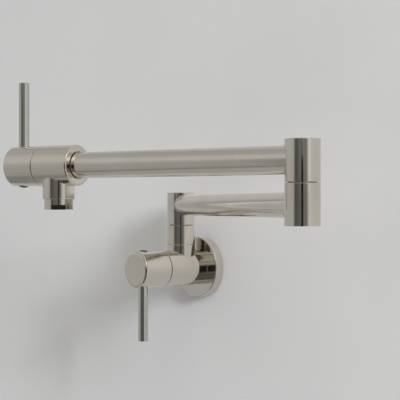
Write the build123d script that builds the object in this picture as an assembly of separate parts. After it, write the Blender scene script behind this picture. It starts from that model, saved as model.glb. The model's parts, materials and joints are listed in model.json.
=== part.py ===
from build123d import *
import os
from math import sqrt

# Wall mounted pot filler: two swivelling arms with a quarter-turn valve at each end.
# The origin is the centre of the inlet on the wall. +X runs along the wall, +Y points
# into the wall and +Z is up. Sizes are in millimetres.

# Gaps and fits
PART_GAP = 0.5          # seam between outer parts that turn on each other
RUNNING_GAP = 0.05      # radial, a shaft that turns in its bore
FACE_GAP = 0.05         # between faces that slide on each other
JOINED_GAP = 0.02       # radial, screwed and brazed joints
RING_GAP = 0.02         # radial, between an O-ring and the bore that it seals
EDGE_ROUND = 0.5        # polished outer edges
SEAM_ROUND = 0.5        # edges that face a seam

# Wall flange
FLANGE_D = 63.5
FLANGE_LENGTH = 10.2
FLANGE_ROUND = 1.4
FLANGE_RIM = 4.2
FLANGE_FACE = 4.6
WALL_GASKET_WIDTH = 7.53
SHANK_D = 26.0
SHANK_GAP = 0.3
FLANGE_RING_SECTION = 1.5

# Inlet, a female G 1/2 thread at its bore size
INLET_D = 18.6
INLET_DEPTH = 15.0
PORT_D = 12.0

# Valve bodies and handles, the same at both ends
VALVE_D = 36.5
HANDLE_LENGTH = 33.5
HANDLE_ROUND = 3.0
HANDLE_BORE_GAP = 3.05   # around the flats of the cartridge's collar
HANDLE_CAVITY = 14.5
LEVER_AT = 22.85        # from the handle's seam
LEVER_D = 9.8
LEVER_ROUND = 0.5
LEVER_CLEAR = 1.6       # inner end of the lever, from the stem's spline
SET_SCREW_D = 6.0
SET_SCREW_LENGTH = 6.0
SET_SCREW_KEY = 3.0
SET_SCREW_KEY_DEPTH = 2.5
PLUG_D = 10.8
PLUG_SEAT = 12.0        # inner end of the plug, from the valve's axis
PLUG_PROUD = 1.3

# Places of the valves
WALL_SEAM_AT = 56.8     # handle seam, from the wall
WALL_LEVER_REACH = 71.4
SPOUT_SEAM_AT = 17.85   # handle seam, beyond the outlet's axis
SPOUT_LEVER_REACH = 76.3
SPOUT_FACE_AT = 22.1    # end face around arm 2, short of the outlet's axis
SPOUT_FACE_ROUND = 1.8

# Ceramic disc cartridge. Its lengths are measured from its seat in the valve body.
SEAT_TO_SEAM = 28.5
NOSE_D = 18.6
NOSE_GAP = 0.15
CHAMBER_D = 24.0
CHAMBER_FROM = 3.5
THREAD_D = 20.6
THREAD_FROM = 14.5
COLLAR_FROM = 24.0
COLLAR_KEY = 22.0
COLLAR_BORE_GAP = 2.4    # around the flats of the collar, in the valve body
COLLAR_INSET = 0.4
NECK_D = 14.0
NECK_TO = 36.0
DISC_D = 15.2
DISC_GAP = 0.1
DISC_THICK = 2.2
GASKET_THICK = 2.2
GASKET_D = 10.0
NOSE_FROM = 0.3
DISC_PORT_D = 12.0
DISC_WEB_D = 3.6
TONGUE_WIDTH = 4.0
TONGUE_DEPTH = 0.8
FOOT_THICK = 2.0
FOOT_WIDTH = 10.0
WINDOW_FROM = 7.5
WINDOW_TO = 13.0
WINDOW_WIDTH = 8.0
HOUSING_SHOULDER = 15.0
STEM_COLLAR_THICK = 1.7
STEM_WAIST_D = 7.6
STEM_D = 10.0
STEM_RING_SECTION = 1.2
STEM_RINGS_AT = (18.5, 22.5)
CLIP_THICK = 0.9
CLIP_DEPTH = 0.8
CLIP_D = 12.8
JOURNAL_TO = 38.5
SPLINE_TO = 56.5
SPLINE_D = 8.0
SPLINE_TOOTH = 0.4
SPLINE_TEETH = 20

# Column on the wall valve
COLUMN_AT = 30.0        # from the wall
COLUMN_D = 28.6
STUB_TOP = 24.0         # above the inlet's axis
UNION_LENGTH = 19.8
UNION_NOSE_D = 22.8
UNION_NOSE_LENGTH = 11.0
UNION_LIP = 3.5
BARREL_LENGTH = 33.2
ANGLED_PORT_D = 7.0
ANGLED_PORT_REACH = 10.0

# Hollow swivel spigots, the same in the column and the elbow
SPIGOT_D = 15.0
SPIGOT_NECK_D = 16.0
SPIGOT_HEAD_LENGTH = 6.4
SPIGOT_BORE_D = 9.0
SPIGOT_RING_SECTION = 1.6
RING_GROOVE_SLACK = 0.5
SPIGOT_IN_STUB = 8.0    # depth below the stub's top
SOCKET_SPARE = 2.0      # below the column's spigot
COLUMN_RINGS_AT = (-4.0, 1.0)   # from the stub's top
SNAP_RING_THICK = 1.0
SNAP_RING_BITE = 1.0
SNAP_RING_OPENING = 5.0
COLUMN_SNAP_RING_GAP = 0.5  # radial, inside the union
WASHER_THICK = 1.0
SEAM_WASHER_D = 22.8
SEAM_WASHER_SEAT = 1.2
BARREL_ROOM = 1.5       # radial, between a spigot and its barrel's bore
BARREL_ROOF = 3.5

# Arms, from swivel axis to swivel axis, in the pose that is shown
ARM_1_D = 21.4
ARM_1_LENGTH = 288.7
ARM_1_ABOVE_SEAM = 20.4
ARM_1_ANGLE = -21.5     # from +X, seen from above
ARM_2_D = 22.9
ARM_2_LENGTH = 242.6
ARM_2_ABOVE_SEAM = 17.6
ARM_2_ANGLE = 196.5
TUBE_WALL = 1.5
TUBE_STOP = 6.0         # end of a tube, from the barrel's axis

# Elbow
ELBOW_D = 28.6
ELBOW_SEAM_ABOVE_ARM_1 = 17.8
ELBOW_HALF = 33.9
ELBOW_LAND = 10.4
ELBOW_RINGS_AT = (-8.2, -4.4)
ELBOW_SNAP_RING_GAP = 0.4   # radial, inside the barrel
ELBOW_PLUG_D = 21.0
ELBOW_PLUG_THICK = 4.5
ELBOW_PLUG_KEY = 8.0
ELBOW_PLUG_KEY_DEPTH = 3.0

# Outlet and aerator
GLAND_GAP = 0.6         # radial, the recess around arm 2
GLAND_DEPTH = 2.5
TUBE_SOCKET_DEPTH = 7.0  # arm 2's socket, from the end face
OUTLET_D = 28.8
OUTLET_DROP = 30.0      # below the valve's axis
OUTLET_ROUND = 0.8
OUTLET_THREAD_D = 22.0
OUTLET_THREAD_DEPTH = 8.9
AERATOR_STEP = 1.45     # radial, in from the outlet
AERATOR_LENGTH = 9.4
AERATOR_THREAD_LENGTH = 6.9
AERATOR_BORE_D = 18.8
AERATOR_MOUTH_D = 17.0
AERATOR_MOUTH = 1.3
AERATOR_ROUND = 0.4
AERATOR_KEY_CUT = 1.65  # depth of each wrench flat
AERATOR_KEY_LENGTH = 4.3
AERATOR_KEY_ANGLE = -35.0
INSERT_GAP = 0.1
INSERT_LENGTH = 10.0
INSERT_WALL = 1.0
INSERT_FLOOR = 1.6
MESH_PITCH = 2.4
MESH_HOLE = 1.7
WASHER_D_INSIDE = 14.0

# Heights and directions that follow from the sizes above
union_top = STUB_TOP + UNION_LENGTH
barrel_top = union_top + BARREL_LENGTH
arm_1_z = union_top + ARM_1_ABOVE_SEAM
elbow_seam = arm_1_z + ELBOW_SEAM_ABOVE_ARM_1
arm_2_z = elbow_seam + ARM_2_ABOVE_SEAM
elbow_bottom = elbow_seam - ELBOW_HALF
elbow_top = elbow_seam + ELBOW_HALF
column_spigot_bottom = STUB_TOP - SPIGOT_IN_STUB
column_socket_bottom = column_spigot_bottom - SOCKET_SPARE
barrel_bore_d = SPIGOT_D + 2 * BARREL_ROOM
spigot_head_d = barrel_bore_d - 2 * JOINED_GAP
column_rings_at = [STUB_TOP + height for height in COLUMN_RINGS_AT]

column_axis = Vector(0, -COLUMN_AT, 0)
arm_1_way = Vector(1, 0, 0).rotate(Axis.Z, ARM_1_ANGLE)
elbow_axis = column_axis + arm_1_way * ARM_1_LENGTH
arm_2_way = Vector(1, 0, 0).rotate(Axis.Z, ARM_2_ANGLE)
outlet_axis = elbow_axis + arm_2_way * ARM_2_LENGTH

wall_plane = Plane(origin=(0, 0, 0), x_dir=(1, 0, 0), z_dir=(0, -1, 0))
wall_seat_at = WALL_SEAM_AT - SEAT_TO_SEAM
wall_seat = wall_plane.offset(wall_seat_at)
column_plane = Plane(origin=column_axis, x_dir=arm_1_way, z_dir=(0, 0, 1))
elbow_plane = Plane(origin=elbow_axis, x_dir=arm_2_way, z_dir=(0, 0, 1))
outlet_plane = Plane(origin=outlet_axis, x_dir=arm_2_way, z_dir=(0, 0, 1))
spout_plane = Plane(
    origin=outlet_axis + Vector(0, 0, arm_2_z),
    x_dir=Vector(0, 0, 1).cross(arm_2_way),
    z_dir=arm_2_way,
)
spout_seat_at = SPOUT_SEAM_AT - SEAT_TO_SEAM
tube_socket_at = SPOUT_FACE_AT - TUBE_SOCKET_DEPTH
spout_seat = spout_plane.offset(spout_seat_at)


def rod(diameter, low, high):
    return Pos(0, 0, low) * Cylinder(
        diameter / 2, high - low, align=(Align.CENTER, Align.CENTER, Align.MIN)
    )


def tube(outside, inside, low, high):
    return rod(outside, low, high) - rod(inside, low, high)


def o_ring(bore, section, height):
    # Ring that seals against a bore of this diameter
    centre = bore / 2 - RING_GAP - section / 2
    return Pos(0, 0, height) * Torus(centre, section / 2)


def o_ring_groove(bore, shaft, section, height):
    floor = bore - 2 * section - 4 * RING_GAP
    half = (section + RING_GROOVE_SLACK) / 2
    return tube(shaft + 1, floor, height - half, height + half)


def snap_ring(outside, inside, low, high):
    # Open ring that snaps into a groove
    opening = Pos(outside / 2, 0, (low + high) / 2) * Box(
        outside, SNAP_RING_OPENING, high - low + 1
    )
    return tube(outside, inside, low, high) - opening


def hexagon(across, low, high):
    flats = RegularPolygon(across / 2, 6, major_radius=False)
    return Pos(0, 0, low) * extrude(flats, high - low)


def spline(diameter, low, high):
    # Fine-toothed shaft end, or the socket for it
    outer = diameter / 2
    inner = outer - SPLINE_TOOTH
    corners = []
    for tooth in range(SPLINE_TEETH):
        turn = 360 / SPLINE_TEETH * tooth
        corners.append(Vector(outer, 0).rotate(Axis.Z, turn))
        corners.append(Vector(inner, 0).rotate(Axis.Z, turn + 180 / SPLINE_TEETH))
    section = make_face(Polyline(*corners, close=True))
    return Pos(0, 0, low) * extrude(section, high - low)


def rounded(part, radius, rim_d, *heights):
    # Rounds the circular edges of one diameter at the given heights
    rims = [
        edge
        for edge in part.edges().filter_by(GeomType.CIRCLE)
        if abs(edge.radius - rim_d / 2) < 0.01
        and any(abs(edge.arc_center.Z - height) < 0.01 for height in heights)
    ]
    return fillet(rims, radius)


# Cartridge pieces, along +Z from the seat


def cartridge_cavity():
    # Bore of a valve body for its cartridge
    cavity = rod(NOSE_D + 2 * NOSE_GAP, 0, THREAD_FROM)
    cavity += rod(CHAMBER_D, CHAMBER_FROM, THREAD_FROM)
    cavity += rod(THREAD_D + 2 * JOINED_GAP, THREAD_FROM, COLLAR_FROM)
    return cavity + rod(COLLAR_KEY + 2 * COLLAR_BORE_GAP, COLLAR_FROM, SEAT_TO_SEAM)


disc_low = GASKET_THICK
disc_slide = disc_low + DISC_THICK + FACE_GAP
foot_low = disc_slide + DISC_THICK + FACE_GAP
disc_bore = DISC_D + 2 * DISC_GAP
journal_bore = STEM_D + 2 * RUNNING_GAP
clip_low = NECK_TO + FACE_GAP


def cartridge_housing():
    housing = rod(NOSE_D, NOSE_FROM, THREAD_FROM)
    housing += rod(THREAD_D, THREAD_FROM, COLLAR_FROM)
    housing += hexagon(COLLAR_KEY, COLLAR_FROM, SEAT_TO_SEAM - COLLAR_INSET)
    housing += rod(NECK_D, COLLAR_FROM, NECK_TO)
    housing -= rod(disc_bore, NOSE_FROM, HOUSING_SHOULDER)
    housing -= rod(journal_bore, HOUSING_SHOULDER, NECK_TO)
    window = Pos(0, 0, (WINDOW_FROM + WINDOW_TO) / 2) * Box(
        WINDOW_WIDTH, NOSE_D + 2, WINDOW_TO - WINDOW_FROM
    )
    return housing - window


def seat_gasket():
    return tube(DISC_D, GASKET_D, 0, GASKET_THICK)


def ported_disc(low):
    # Ceramic disc with two opposite ports
    reach = DISC_PORT_D
    slant = reach * 0.8
    wedge = Polygon((0, 0), (reach, slant), (reach, -slant), align=None)
    both = wedge + Rot(0, 0, 180) * wedge
    ports = (Circle(DISC_PORT_D / 2) & both) - Circle(DISC_WEB_D / 2)
    disc = extrude(Circle(DISC_D / 2) - ports, DISC_THICK)
    return Pos(0, 0, low) * disc


def moving_disc():
    # Turned a quarter from the fixed disc, so the valve is shut
    tongue_slot = Pos(0, 0, disc_slide + DISC_THICK - TONGUE_DEPTH / 2) * Box(
        DISC_D, TONGUE_WIDTH, TONGUE_DEPTH
    )
    return Rot(0, 0, 90) * (ported_disc(disc_slide) - tongue_slot)


def valve_stem():
    foot = rod(DISC_D, foot_low, foot_low + FOOT_THICK)
    foot &= Pos(0, 0, foot_low + FOOT_THICK / 2) * Box(FOOT_WIDTH, DISC_D, FOOT_THICK)
    tongue_depth = TONGUE_DEPTH - FACE_GAP
    tongue = Pos(0, 0, foot_low - tongue_depth / 2) * Box(
        TONGUE_WIDTH - 2 * FACE_GAP, DISC_D, tongue_depth
    )
    tongue &= rod(DISC_D, foot_low - tongue_depth, foot_low)
    stem = foot + tongue
    collar_top = HOUSING_SHOULDER - FACE_GAP
    stem += rod(STEM_WAIST_D, foot_low, collar_top)
    stem += rod(DISC_D, collar_top - STEM_COLLAR_THICK, collar_top)
    stem += rod(STEM_D, collar_top, JOURNAL_TO)
    for height in STEM_RINGS_AT:
        stem -= o_ring_groove(journal_bore, STEM_D, STEM_RING_SECTION, height)
    stem -= tube(STEM_D + 1, STEM_D - 2 * CLIP_DEPTH, clip_low, clip_low + CLIP_THICK)
    return stem + spline(SPLINE_D, JOURNAL_TO, SPLINE_TO)


def stem_o_rings():
    rings = [o_ring(journal_bore, STEM_RING_SECTION, height) for height in STEM_RINGS_AT]
    return Compound(children=rings)


def stem_clip():
    inside = STEM_D - 2 * CLIP_DEPTH + 2 * JOINED_GAP
    high = clip_low + CLIP_THICK - FACE_GAP
    return snap_ring(CLIP_D, inside, clip_low, high)


# Handle pieces, along +Z from the cartridge's seat. Levers point along +Y before
# they are turned to their side.

handle_rim = SEAT_TO_SEAM + PART_GAP / 2
handle_end = SEAT_TO_SEAM + HANDLE_LENGTH
lever_height = SEAT_TO_SEAM + LEVER_AT
lever_root = SPLINE_D / 2 + LEVER_CLEAR
socket_end = SPLINE_TO + 2 * PART_GAP


def across_handle(diameter, inner, outer):
    # Cylinder square to the handle's axis, along +Y from inner to outer
    return Pos(0, 0, lever_height) * Rot(-90, 0, 0) * rod(diameter, inner, outer)


def handle_cap():
    cap = rod(VALVE_D, handle_rim, handle_end)
    cap = rounded(cap, HANDLE_ROUND, VALVE_D, handle_end)
    cap = rounded(cap, SEAM_ROUND, VALVE_D, handle_rim)
    bore = COLLAR_KEY + 2 * HANDLE_BORE_GAP
    cap -= rod(bore, handle_rim, SEAT_TO_SEAM + HANDLE_CAVITY)
    cap -= spline(SPLINE_D + 2 * JOINED_GAP, handle_rim, socket_end)
    cap -= across_handle(LEVER_D + 2 * JOINED_GAP, lever_root, VALVE_D)
    cap -= across_handle(SET_SCREW_D + 2 * JOINED_GAP, -PLUG_SEAT, 0)
    return cap - across_handle(PLUG_D + 2 * JOINED_GAP, -VALVE_D, -PLUG_SEAT)


def lever_rod(reach):
    lever = rounded(rod(LEVER_D, lever_root, reach), LEVER_ROUND, LEVER_D, reach)
    return Pos(0, 0, lever_height) * Rot(-90, 0, 0) * lever


def set_screw():
    tip = SPLINE_D / 2 + JOINED_GAP
    end = tip + SET_SCREW_LENGTH
    screw = rod(SET_SCREW_D, tip, end)
    screw -= hexagon(SET_SCREW_KEY, end - SET_SCREW_KEY_DEPTH, end)
    return Pos(0, 0, lever_height) * Rot(90, 0, 0) * screw


def screw_plug():
    # Low domed plug over the set screw, level with the cap at its edge
    shoulder = sqrt((VALVE_D / 2) ** 2 - (PLUG_D / 2) ** 2)
    crown = VALVE_D / 2 + PLUG_PROUD
    rise = crown - shoulder
    dome_radius = ((PLUG_D / 2) ** 2 + rise**2) / (2 * rise)
    dome = Pos(0, 0, crown - dome_radius) * Sphere(dome_radius)
    plug = rod(PLUG_D, PLUG_SEAT, crown) & dome
    return Pos(0, 0, lever_height) * Rot(90, 0, 0) * plug


def valve_internals():
    return {
        "cartridge_housing": cartridge_housing(),
        "seat_gasket": seat_gasket(),
        "fixed_disc": ported_disc(disc_low),
        "moving_disc": moving_disc(),
        "valve_stem": valve_stem(),
        "stem_o_rings": stem_o_rings(),
        "stem_clip": stem_clip(),
    }


def handle_pieces(reach):
    return {
        "handle_cap": handle_cap(),
        "lever_rod": lever_rod(reach),
        "set_screw": set_screw(),
        "screw_plug": screw_plug(),
    }


# Wall flange, along +Z out of the wall


def wall_flange():
    flange = rod(FLANGE_D, 0, FLANGE_LENGTH)
    flange = rounded(flange, FLANGE_ROUND, FLANGE_D, FLANGE_LENGTH)
    flange -= rod(FLANGE_D - 2 * FLANGE_RIM, 0, FLANGE_LENGTH - FLANGE_FACE)
    return flange - rod(SHANK_D + 2 * SHANK_GAP, 0, FLANGE_LENGTH)


def wall_gasket():
    outside = FLANGE_D - 2 * FLANGE_RIM - 2 * JOINED_GAP
    inside = outside - 2 * WALL_GASKET_WIDTH
    return tube(outside, inside, 0, FLANGE_LENGTH - FLANGE_FACE)


flange_bore = SHANK_D + 2 * SHANK_GAP
flange_ring_at = FLANGE_LENGTH - FLANGE_FACE / 2


# Swivels, with heights above the inlet's axis


def column_socket():
    # Bore of the wall valve for the column's spigot, and its way to the chamber
    nose_top = STUB_TOP + UNION_NOSE_LENGTH
    socket = rod(SPIGOT_D + 2 * RUNNING_GAP, column_socket_bottom, nose_top)
    socket = Pos(*column_axis) * socket
    start = column_axis + Vector(0, 0, column_socket_bottom + 1)
    way = Vector(0, -ANGLED_PORT_REACH, CHAMBER_D / 3 - start.Z)
    port = Plane(origin=start, z_dir=way) * rod(ANGLED_PORT_D, 0, way.length)
    return socket + port


def wall_valve_body():
    body = rod(VALVE_D, FLANGE_LENGTH, WALL_SEAM_AT - PART_GAP / 2)
    body = rounded(body, SEAM_ROUND, VALVE_D, WALL_SEAM_AT - PART_GAP / 2)
    shank = rod(SHANK_D, 0, FLANGE_LENGTH)
    shank -= o_ring_groove(flange_bore, SHANK_D, FLANGE_RING_SECTION, flange_ring_at)
    body = wall_plane * (body + shank)
    stub = rounded(rod(COLUMN_D, 0, STUB_TOP), SEAM_ROUND, COLUMN_D, STUB_TOP)
    stub += rod(UNION_NOSE_D, STUB_TOP, STUB_TOP + UNION_NOSE_LENGTH)
    body += Pos(*column_axis) * stub
    body -= wall_plane * rod(INLET_D, 0, INLET_DEPTH)
    body -= wall_plane * rod(PORT_D, INLET_DEPTH, wall_seat_at)
    body -= wall_seat * cartridge_cavity()
    return body - column_socket()


def column_union():
    high = union_top - PART_GAP / 2
    lip = high - UNION_LIP
    union = rod(COLUMN_D, STUB_TOP, high)
    union = rounded(union, SEAM_ROUND, COLUMN_D, STUB_TOP, high)
    union -= rod(UNION_NOSE_D + 2 * JOINED_GAP, STUB_TOP, lip)
    union -= rod(SPIGOT_NECK_D + 2 * RUNNING_GAP, lip, high)
    return union - rod(SEAM_WASHER_D + 2 * JOINED_GAP, high - SEAM_WASHER_SEAT, high)


def seam_washer(low_face, high_face, shaft):
    # Bearing washer in the seat at the top of the lower part
    inside = shaft + 2 * RUNNING_GAP
    return tube(SEAM_WASHER_D, inside, low_face - SEAM_WASHER_SEAT, high_face - FACE_GAP)


lip_low = union_top - PART_GAP / 2 - UNION_LIP
column_clip_high = lip_low - WASHER_THICK - 2 * FACE_GAP
spigot_bore = SPIGOT_D + 2 * RUNNING_GAP


def column_spigot():
    foot = union_top + PART_GAP / 2
    neck_low = STUB_TOP + UNION_NOSE_LENGTH + PART_GAP
    spigot = rod(SPIGOT_D, column_spigot_bottom, neck_low)
    spigot += rod(SPIGOT_NECK_D, neck_low, foot)
    spigot += rod(spigot_head_d, foot, foot + SPIGOT_HEAD_LENGTH)
    spigot -= rod(SPIGOT_BORE_D, column_spigot_bottom, foot + SPIGOT_HEAD_LENGTH)
    for height in column_rings_at:
        spigot -= o_ring_groove(spigot_bore, SPIGOT_D, SPIGOT_RING_SECTION, height)
    floor = SPIGOT_NECK_D - 2 * SNAP_RING_BITE
    low = column_clip_high - SNAP_RING_THICK - FACE_GAP
    return spigot - tube(SPIGOT_NECK_D + 1, floor, low, column_clip_high)


def column_snap_ring():
    inside = SPIGOT_NECK_D - 2 * SNAP_RING_BITE + 2 * JOINED_GAP
    low = column_clip_high - SNAP_RING_THICK
    outside = UNION_NOSE_D - 2 * COLUMN_SNAP_RING_GAP
    return snap_ring(outside, inside, low, column_clip_high)


def column_thrust_washer():
    low = lip_low - WASHER_THICK - FACE_GAP
    outside = UNION_NOSE_D - 2 * PART_GAP
    return tube(outside, SPIGOT_NECK_D + 4 * RUNNING_GAP, low, lip_low - FACE_GAP)


def arm_socket(arm_d, arm_z, barrel_d):
    # Cut in a barrel's wall along +X, which leaves the core inside the bore whole
    socket = Pos(0, 0, arm_z) * Rot(0, 90, 0) * rod(arm_d + 2 * JOINED_GAP, TUBE_STOP, barrel_d)
    return socket - rod(barrel_bore_d, arm_z - arm_d, arm_z + arm_d)


def swivel_barrel(diameter, low, high, arm_d, arm_z):
    # Barrel whose spigot screws in from below and whose arm leaves along +X
    barrel = rod(diameter, low, high)
    barrel = rounded(barrel, EDGE_ROUND, diameter, high)
    barrel = rounded(barrel, SEAM_ROUND, diameter, low)
    barrel -= arm_socket(arm_d, arm_z, diameter)
    return barrel - rod(barrel_bore_d, low, high - BARREL_ROOF)


def arm_tube(arm_d, start, end):
    # Tube along +Z with both ends open
    return tube(arm_d, arm_d - 2 * TUBE_WALL, start, end)


def coped(arm, axis):
    # Trims a tube's end to the bore of the barrel that it is brazed into
    return arm - Pos(axis.X, axis.Y, 0) * rod(barrel_bore_d + 2 * JOINED_GAP, 0, elbow_top)


def arm_1_tube():
    start = column_axis + Vector(0, 0, arm_1_z)
    arm = arm_tube(ARM_1_D, TUBE_STOP, ARM_1_LENGTH - TUBE_STOP)
    arm = Plane(origin=start, z_dir=arm_1_way) * arm
    return coped(coped(arm, column_axis), elbow_axis)


def arm_2_tube():
    start = elbow_axis + Vector(0, 0, arm_2_z)
    arm = arm_tube(ARM_2_D, TUBE_STOP, ARM_2_LENGTH - tube_socket_at)
    return coped(Plane(origin=start, z_dir=arm_2_way) * arm, elbow_axis)


elbow_land_low = elbow_seam - ELBOW_LAND
elbow_clip_high = elbow_land_low - WASHER_THICK - 2 * FACE_GAP
elbow_snap_ring_d = barrel_bore_d - 2 * ELBOW_SNAP_RING_GAP


def elbow_lower_barrel():
    high = elbow_seam - PART_GAP / 2
    barrel = rod(ELBOW_D, elbow_bottom, high)
    barrel = rounded(barrel, EDGE_ROUND, ELBOW_D, elbow_bottom)
    barrel = rounded(barrel, SEAM_ROUND, ELBOW_D, high)
    barrel -= arm_socket(ARM_1_D, arm_1_z, ELBOW_D)
    barrel -= rod(ELBOW_PLUG_D + 2 * JOINED_GAP, elbow_bottom, elbow_bottom + ELBOW_PLUG_THICK)
    barrel -= rod(barrel_bore_d, elbow_bottom, elbow_land_low)
    barrel -= rod(spigot_bore, elbow_land_low, high)
    return barrel - rod(SEAM_WASHER_D + 2 * JOINED_GAP, high - SEAM_WASHER_SEAT, high)


def elbow_spigot():
    foot = elbow_seam + PART_GAP / 2
    clip_low = elbow_clip_high - SNAP_RING_THICK
    bottom = clip_low - SNAP_RING_THICK
    spigot = rod(SPIGOT_D, bottom, foot)
    spigot += rod(spigot_head_d, foot, foot + SPIGOT_HEAD_LENGTH)
    spigot -= rod(SPIGOT_BORE_D, bottom, foot + SPIGOT_HEAD_LENGTH)
    for height in ELBOW_RINGS_AT:
        spigot -= o_ring_groove(
            spigot_bore, SPIGOT_D, SPIGOT_RING_SECTION, elbow_seam + height
        )
    floor = SPIGOT_D - 2 * SNAP_RING_BITE
    return spigot - tube(SPIGOT_D + 1, floor, clip_low - FACE_GAP, elbow_clip_high)


def elbow_snap_ring():
    inside = SPIGOT_D - 2 * SNAP_RING_BITE + 2 * JOINED_GAP
    low = elbow_clip_high - SNAP_RING_THICK
    return snap_ring(elbow_snap_ring_d, inside, low, elbow_clip_high)


def elbow_thrust_washer():
    low = elbow_land_low - WASHER_THICK - FACE_GAP
    inside = SPIGOT_D + 4 * RUNNING_GAP
    return tube(elbow_snap_ring_d, inside, low, elbow_land_low - FACE_GAP)


def elbow_bottom_plug():
    plug = rod(ELBOW_PLUG_D, elbow_bottom, elbow_bottom + ELBOW_PLUG_THICK)
    return plug - hexagon(ELBOW_PLUG_KEY, elbow_bottom, elbow_bottom + ELBOW_PLUG_KEY_DEPTH)


# Spout valve body and aerator

outlet_z = arm_2_z - OUTLET_DROP
aerator_z = outlet_z - AERATOR_LENGTH
aerator_seat = outlet_z + AERATOR_THREAD_LENGTH
aerator_d = OUTLET_D - 2 * AERATOR_STEP
aerator_key = aerator_d - 2 * AERATOR_KEY_CUT


def spout_valve_body():
    seam = SPOUT_SEAM_AT - PART_GAP / 2
    body = rod(VALVE_D, -SPOUT_FACE_AT, seam)
    body = rounded(body, SPOUT_FACE_ROUND, VALVE_D, -SPOUT_FACE_AT)
    body = rounded(body, SEAM_ROUND, VALVE_D, seam)
    neck = rounded(rod(OUTLET_D, outlet_z, arm_2_z), OUTLET_ROUND, OUTLET_D, outlet_z)
    body = spout_plane * body + outlet_plane * neck
    gland_floor = GLAND_DEPTH - SPOUT_FACE_AT
    bores = rod(ARM_2_D + 2 * GLAND_GAP, -SPOUT_FACE_AT, gland_floor)
    bores += rod(ARM_2_D + 2 * JOINED_GAP, gland_floor, -tube_socket_at)
    bores += rod(PORT_D, -tube_socket_at, spout_seat_at)
    body -= spout_plane * bores
    body -= spout_seat * cartridge_cavity()
    down = rod(PORT_D, outlet_z, arm_2_z - CHAMBER_D / 4)
    down += rod(OUTLET_THREAD_D + 2 * JOINED_GAP, outlet_z, outlet_z + OUTLET_THREAD_DEPTH)
    return body - outlet_plane * down


def aerator_housing():
    housing = rod(aerator_d, aerator_z, outlet_z)
    housing = rounded(housing, AERATOR_ROUND, aerator_d, aerator_z)
    keyed = Pos(0, 0, aerator_z + AERATOR_KEY_LENGTH / 2) * Box(
        aerator_key, aerator_d, AERATOR_KEY_LENGTH
    )
    housing &= keyed + rod(aerator_d, aerator_z + AERATOR_KEY_LENGTH, outlet_z)
    housing += rod(OUTLET_THREAD_D, outlet_z, aerator_seat)
    housing -= rod(AERATOR_MOUTH_D, aerator_z, aerator_seat)
    housing -= rod(AERATOR_BORE_D, aerator_z + AERATOR_MOUTH, aerator_seat)
    return Rot(0, 0, AERATOR_KEY_ANGLE - ARM_2_ANGLE) * housing


def aerator_insert():
    # Cup with a square mesh in its floor
    low = aerator_z + AERATOR_MOUTH
    outside = AERATOR_BORE_D - 2 * INSERT_GAP
    inside = outside - 2 * INSERT_WALL
    insert = rod(outside, low, low + INSERT_LENGTH)
    insert -= rod(inside, low + INSERT_FLOOR, low + INSERT_LENGTH)
    rows = int(inside / MESH_PITCH)
    corner = MESH_HOLE / sqrt(2)
    holes = [
        spot * Box(MESH_HOLE, MESH_HOLE, 3 * INSERT_FLOOR)
        for spot in GridLocations(MESH_PITCH, MESH_PITCH, rows, rows)
        if spot.position.length + corner < inside / 2
    ]
    return insert - Pos(0, 0, low) * Part(children=holes)


def aerator_washer():
    high = outlet_z + OUTLET_THREAD_DEPTH
    return tube(OUTLET_THREAD_D, WASHER_D_INSIDE, aerator_seat, high)


# Every piece by its node's name, in the part's own frame

pieces = {
    "wall_flange": wall_plane * wall_flange(),
    "wall_gasket": wall_plane * wall_gasket(),
    "flange_o_ring": wall_plane * o_ring(flange_bore, FLANGE_RING_SECTION, flange_ring_at),
    "wall_valve_body": wall_valve_body(),
    "column_union": column_plane * column_union(),
    "column_seam_washer": column_plane
    * seam_washer(union_top - PART_GAP / 2, union_top + PART_GAP / 2, SPIGOT_NECK_D),
    "column_thrust_washer": column_plane * column_thrust_washer(),
    "column_snap_ring": column_plane * column_snap_ring(),
    "column_spigot": column_plane * column_spigot(),
    "column_o_rings": column_plane
    * Compound(
        children=[
            o_ring(spigot_bore, SPIGOT_RING_SECTION, height) for height in column_rings_at
        ]
    ),
    "column_barrel": column_plane
    * swivel_barrel(COLUMN_D, union_top + PART_GAP / 2, barrel_top, ARM_1_D, arm_1_z),
    "arm_1_tube": arm_1_tube(),
    "elbow_lower_barrel": column_plane * Pos(ARM_1_LENGTH, 0, 0) * Rot(0, 0, 180)
    * elbow_lower_barrel(),
    "elbow_bottom_plug": elbow_plane * elbow_bottom_plug(),
    "elbow_seam_washer": elbow_plane
    * seam_washer(elbow_seam - PART_GAP / 2, elbow_seam + PART_GAP / 2, SPIGOT_D),
    "elbow_thrust_washer": elbow_plane * elbow_thrust_washer(),
    "elbow_snap_ring": elbow_plane * elbow_snap_ring(),
    "elbow_spigot": elbow_plane * elbow_spigot(),
    "elbow_o_rings": elbow_plane
    * Compound(
        children=[
            o_ring(spigot_bore, SPIGOT_RING_SECTION, elbow_seam + height)
            for height in ELBOW_RINGS_AT
        ]
    ),
    "elbow_upper_barrel": elbow_plane
    * swivel_barrel(ELBOW_D, elbow_seam + PART_GAP / 2, elbow_top, ARM_2_D, arm_2_z),
    "arm_2_tube": arm_2_tube(),
    "spout_valve_body": spout_valve_body(),
    "aerator_housing": outlet_plane * aerator_housing(),
    "aerator_insert": outlet_plane * aerator_insert(),
    "aerator_washer": outlet_plane * aerator_washer(),
}

# The wall lever points down and the spout lever points up
for valve, seat, turn, reach in (
    ("wall", wall_seat, 180, WALL_LEVER_REACH),
    ("spout", spout_seat, 0, SPOUT_LEVER_REACH),
):
    for name, piece in valve_internals().items():
        pieces[f"{valve}_{name}"] = seat * piece
    for name, piece in handle_pieces(reach).items():
        pieces[f"{valve}_{name}"] = seat * Rot(0, 0, turn) * piece

os.makedirs("parts", exist_ok=True)
for name, piece in pieces.items():
    export_step(piece, f"parts/{name}.step")
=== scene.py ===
import json
import math

import bmesh
import bpy
from mathutils import Matrix, Vector


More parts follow.
